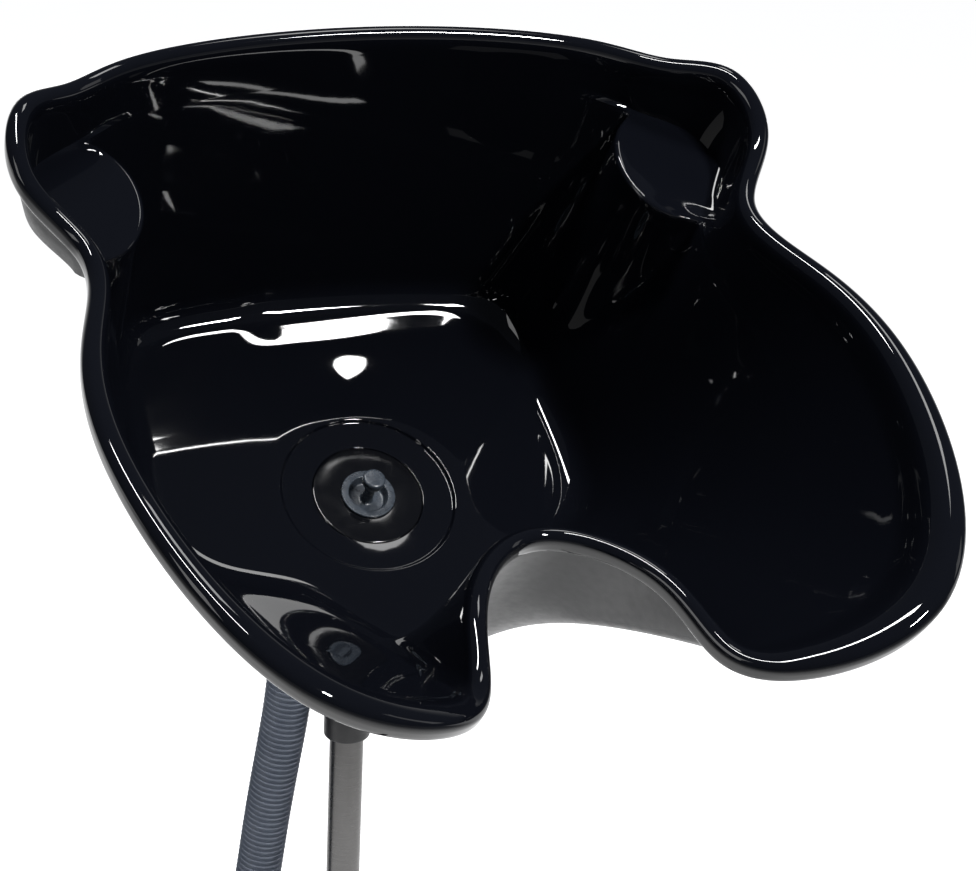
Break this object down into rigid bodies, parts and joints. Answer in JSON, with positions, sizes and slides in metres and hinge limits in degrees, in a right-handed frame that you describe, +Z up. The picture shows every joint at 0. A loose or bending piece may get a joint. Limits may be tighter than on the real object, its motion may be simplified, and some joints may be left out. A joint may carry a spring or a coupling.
{
  "type": "portable shampoo basin",
  "caption": "Deep tilted shampoo bowl with a neck notch, bottle ledges, drain, plug and hose, on a height-adjustable mast with a legged foot.",
  "frame": {"origin": "on the floor, below the middle of the part's bounding box (the hose and its cuff aside)", "axes": "+Z up along the mast; -Y towards the neck notch, where the person sits; +X to the side of the height and tilt knobs"},
  "size_m": [0.58, 0.7116, 1.1776],
  "materials": {
    "gloss_black_moulding": "gloss black moulded plastic",
    "satin_black_plastic": "satin black plastic",
    "black_painted_steel": "black powder coat",
    "satin_steel": "satin stainless steel",
    "black_rubber": "black rubber",
    "grey_hose": "ribbed grey hose, slightly blue",
    "grey_cuff": "soft grey cuff",
    "grey_plug": "soft grey translucent plug"
  },
  "bodies": {
    "stand": {"base_hub": "black_painted_steel", "base_plate": "black_painted_steel", "hub_bolt": "satin_steel", "outer_tube": "black_painted_steel", "guide_bush": "satin_black_plastic", "height_clamp": "satin_black_plastic", "leg_right": "black_painted_steel", "leg_back": "black_painted_steel", "leg_left": "black_painted_steel", "leg_front": "black_painted_steel", "leg_bolt_right": "satin_steel", "leg_bolt_back": "satin_steel", "leg_bolt_left": "satin_steel", "leg_bolt_front": "satin_steel", "foot_right": "black_rubber", "foot_back": "black_rubber", "foot_left": "black_rubber", "foot_front": "black_rubber"},
    "height_knob": {"height_knob": "satin_black_plastic"},
    "mast": {"mast_tube": "satin_steel", "mast_collar": "satin_black_plastic", "mast_foot_bush": "satin_black_plastic"},
    "head": {"tilt_arm": "black_painted_steel"},
    "bowl": {"bowl_shell": "gloss_black_moulding", "drain_flange": "satin_black_plastic", "strainer_grid": "satin_steel", "drain_gasket": "black_rubber", "drain_locknut": "satin_black_plastic", "drain_elbow": "satin_black_plastic", "mount_pad": "satin_black_plastic", "tilt_bracket": "black_painted_steel", "plate_screw_left_front": "satin_steel", "plate_screw_left_back": "satin_steel", "plate_screw_right_front": "satin_steel", "plate_screw_right_back": "satin_steel", "pivot_bolt": "satin_steel", "pivot_washer_left": "satin_steel", "pivot_washer_right": "satin_steel", "hose_clip": "satin_steel", "hose_clip_screw": "satin_steel", "drain_hose": "grey_hose", "hose_cuff": "grey_cuff"},
    "plug": {"drain_plug": "grey_plug"},
    "tilt_knob": {"tilt_knob": "satin_black_plastic"}
  },
  "joints": [
    {"name": "height_knob_turn", "type": "hinge", "parent": "stand", "child": "height_knob", "pos_m": [0, 0.06579, 0.477], "axis": [1, 0, 0], "continuous": true},
    {"name": "height_slide", "type": "slide", "parent": "stand", "child": "mast", "axis": [0, 0, 1], "range_m": [0, 0.22]},
    {"name": "head_swivel", "type": "hinge", "parent": "mast", "child": "head", "pos_m": [0, 0.06579, 0.7405], "axis": [0, 0, 1], "continuous": true},
    {"name": "bowl_tilt", "type": "hinge", "parent": "head", "child": "bowl", "pos_m": [0, 0.13818, 0.8831], "axis": [1, 0, 0], "range_deg": [-28, 7]},
    {"name": "tilt_knob_turn", "type": "hinge", "parent": "bowl", "child": "tilt_knob", "pos_m": [0, 0.13818, 0.8831], "axis": [1, 0, 0], "continuous": true},
    {"name": "plug_lift", "type": "slide", "parent": "bowl", "child": "plug", "axis": [0, -0.5687, 0.8225], "range_m": [0, 0.03]}
  ]
}
